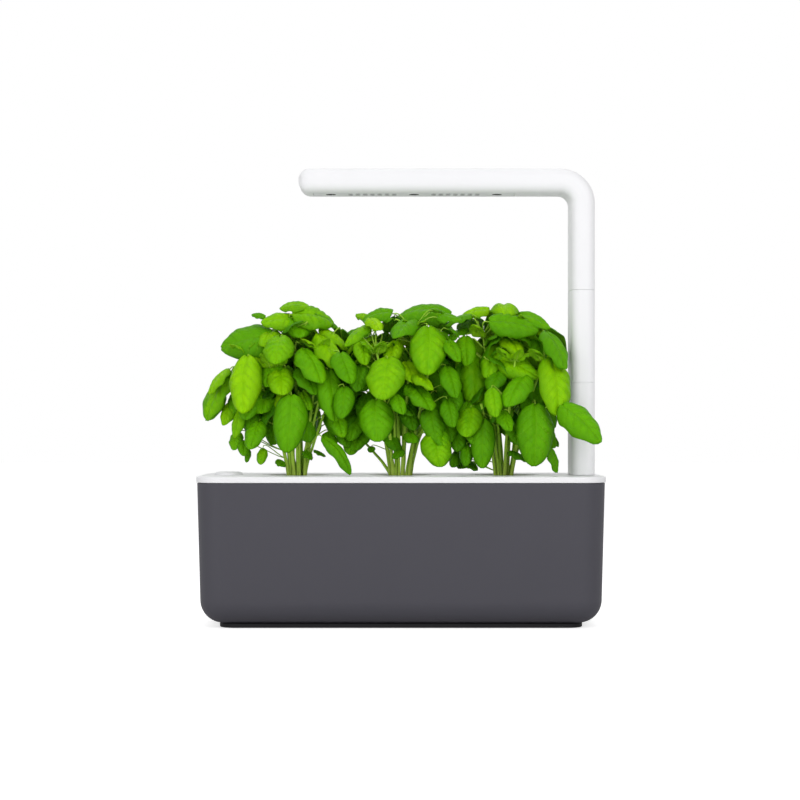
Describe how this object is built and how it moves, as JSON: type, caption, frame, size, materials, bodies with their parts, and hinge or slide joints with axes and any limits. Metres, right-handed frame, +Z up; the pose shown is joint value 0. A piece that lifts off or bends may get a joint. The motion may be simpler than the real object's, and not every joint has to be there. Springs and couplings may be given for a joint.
{
  "type": "countertop hydroponic garden",
  "caption": "Countertop garden with a dark water tank, a white lid with plant pods and a float, and a grow lamp on a column of plug-in tubes.",
  "frame": {"origin": "centre of the foot's underside, on the surface that the garden stands on", "axes": "+Z up, +X right towards the lamp's column, +Y to the back"},
  "size_m": [0.3014, 0.1264, 0.3415],
  "materials": {
    "tank_plastic": "satin dark grey",
    "foot_plastic": "matt near-black",
    "white_plastic": "satin white",
    "lamp_white": "soft gloss white",
    "cover_grey": "matt light grey",
    "rubber": "matt",
    "steel": "plain",
    "aluminium": "extruded",
    "brass": "plain",
    "dark_plastic": "matt",
    "board": "solder mask",
    "felt": "wool felt",
    "foam": "closed-cell foam",
    "pod_plastic": "matt",
    "soil": "coarse growing medium",
    "paper": "uncoated",
    "leaf": "glossy leaf"
  },
  "bodies": {
    "tank": {"tub": "tank_plastic", "base_foot": "foot_plastic", "foot_screw_1": "steel", "foot_screw_2": "steel", "foot_screw_3": "steel", "foot_screw_4": "steel", "foot_pad_1": "rubber", "foot_pad_2": "rubber", "foot_pad_3": "rubber", "foot_pad_4": "rubber"},
    "lid": {"lid": "white_plastic", "pod_cup_left": "white_plastic", "pod_cup_middle": "white_plastic", "pod_cup_right": "white_plastic", "wick_left": "felt", "wick_middle": "felt", "wick_right": "felt", "float_guide": "white_plastic", "socket_contacts": "brass", "timer_board": "board", "power_inlet": "dark_plastic", "socket_cover": "white_plastic", "socket_screw_1": "steel", "socket_screw_2": "steel"},
    "float": {"float_cap": "white_plastic", "float_bulb": "foam"},
    "extension_lower": {"extension_lower": "lamp_white", "extension_lower_plug": "brass", "extension_lower_contacts": "brass", "extension_lower_lead": "dark_plastic"},
    "extension_upper": {"extension_upper": "lamp_white", "extension_upper_plug": "brass", "extension_upper_contacts": "brass", "extension_upper_lead": "dark_plastic"},
    "lamp": {"lamp_arm": "lamp_white", "lamp_cover": "cover_grey", "led_board": "board", "heat_sink": "aluminium", "cover_screw_1": "steel", "cover_screw_2": "steel", "cover_screw_3": "steel", "lamp_plug": "brass", "lamp_lead": "dark_plastic"},
    "plant_left": {"pod_basket_left": "pod_plastic", "soil_plug_left": "soil", "pod_collar_left": "paper", "basil_left": "leaf"},
    "plant_middle": {"pod_basket_middle": "pod_plastic", "soil_plug_middle": "soil", "pod_collar_middle": "paper", "basil_middle": "leaf"},
    "plant_right": {"pod_basket_right": "pod_plastic", "soil_plug_right": "soil", "pod_collar_right": "paper", "basil_right": "leaf"}
  },
  "joints": [
    {"name": "lid_lift", "type": "slide", "parent": "tank", "child": "lid", "axis": [0, 0, 1], "range_m": [0, 0.095]},
    {"name": "float_travel", "type": "slide", "parent": "lid", "child": "float", "axis": [0, 0, 1], "range_m": [-0.04, 0]},
    {"name": "extension_lower_lift", "type": "slide", "parent": "lid", "child": "extension_lower", "axis": [0, 0, 1], "range_m": [0, 0.024]},
    {"name": "extension_upper_lift", "type": "slide", "parent": "extension_lower", "child": "extension_upper", "axis": [0, 0, 1], "range_m": [0, 0.024]},
    {"name": "lamp_lift", "type": "slide", "parent": "extension_upper", "child": "lamp", "axis": [0, 0, 1], "range_m": [0, 0.024]},
    {"name": "plant_left_lift", "type": "slide", "parent": "lid", "child": "plant_left", "axis": [0, 0, 1], "range_m": [0, 0.068]},
    {"name": "plant_middle_lift", "type": "slide", "parent": "lid", "child": "plant_middle", "axis": [0, 0, 1], "range_m": [0, 0.068]},
    {"name": "plant_right_lift", "type": "slide", "parent": "lid", "child": "plant_right", "axis": [0, 0, 1], "range_m": [0, 0.068]}
  ]
}
